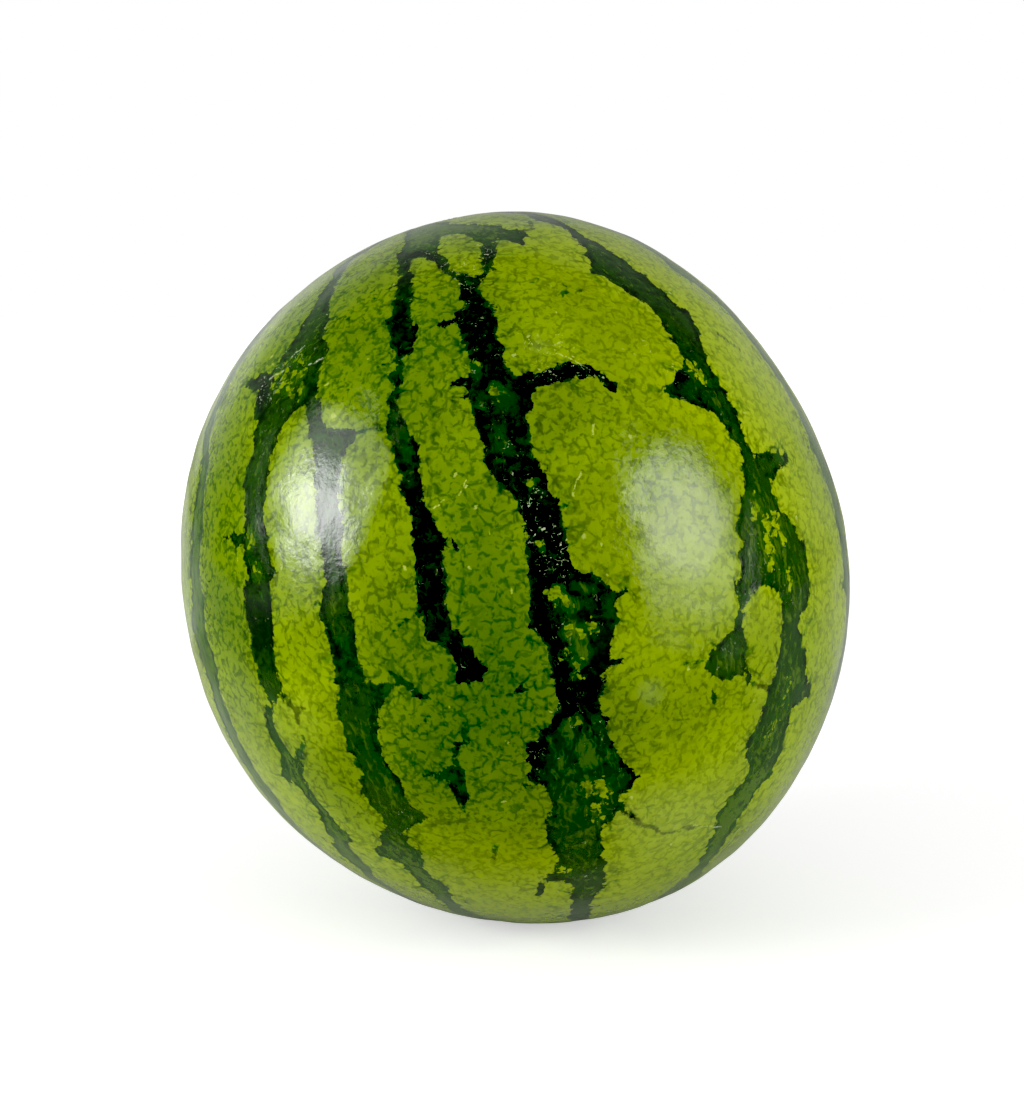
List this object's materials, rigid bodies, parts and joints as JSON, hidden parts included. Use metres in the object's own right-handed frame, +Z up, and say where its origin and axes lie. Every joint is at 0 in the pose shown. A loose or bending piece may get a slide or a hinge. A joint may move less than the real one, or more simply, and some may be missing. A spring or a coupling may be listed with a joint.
{
  "type": "watermelon",
  "caption": "Small whole watermelon with a dark-striped green rind, grown as one piece and standing upright on a flat spot of its own.",
  "frame": {"origin": "on the surface the fruit stands on, under the middle of its width and depth", "axes": "+Z up; -Y is the fruit's front and +X its right, seen from the front"},
  "size_m": [0.2064, 0.2048, 0.2179],
  "materials": {
    "rind": "satin"
  },
  "bodies": {
    "root": {"watermelon": "rind"}
  },
  "joints": []
}
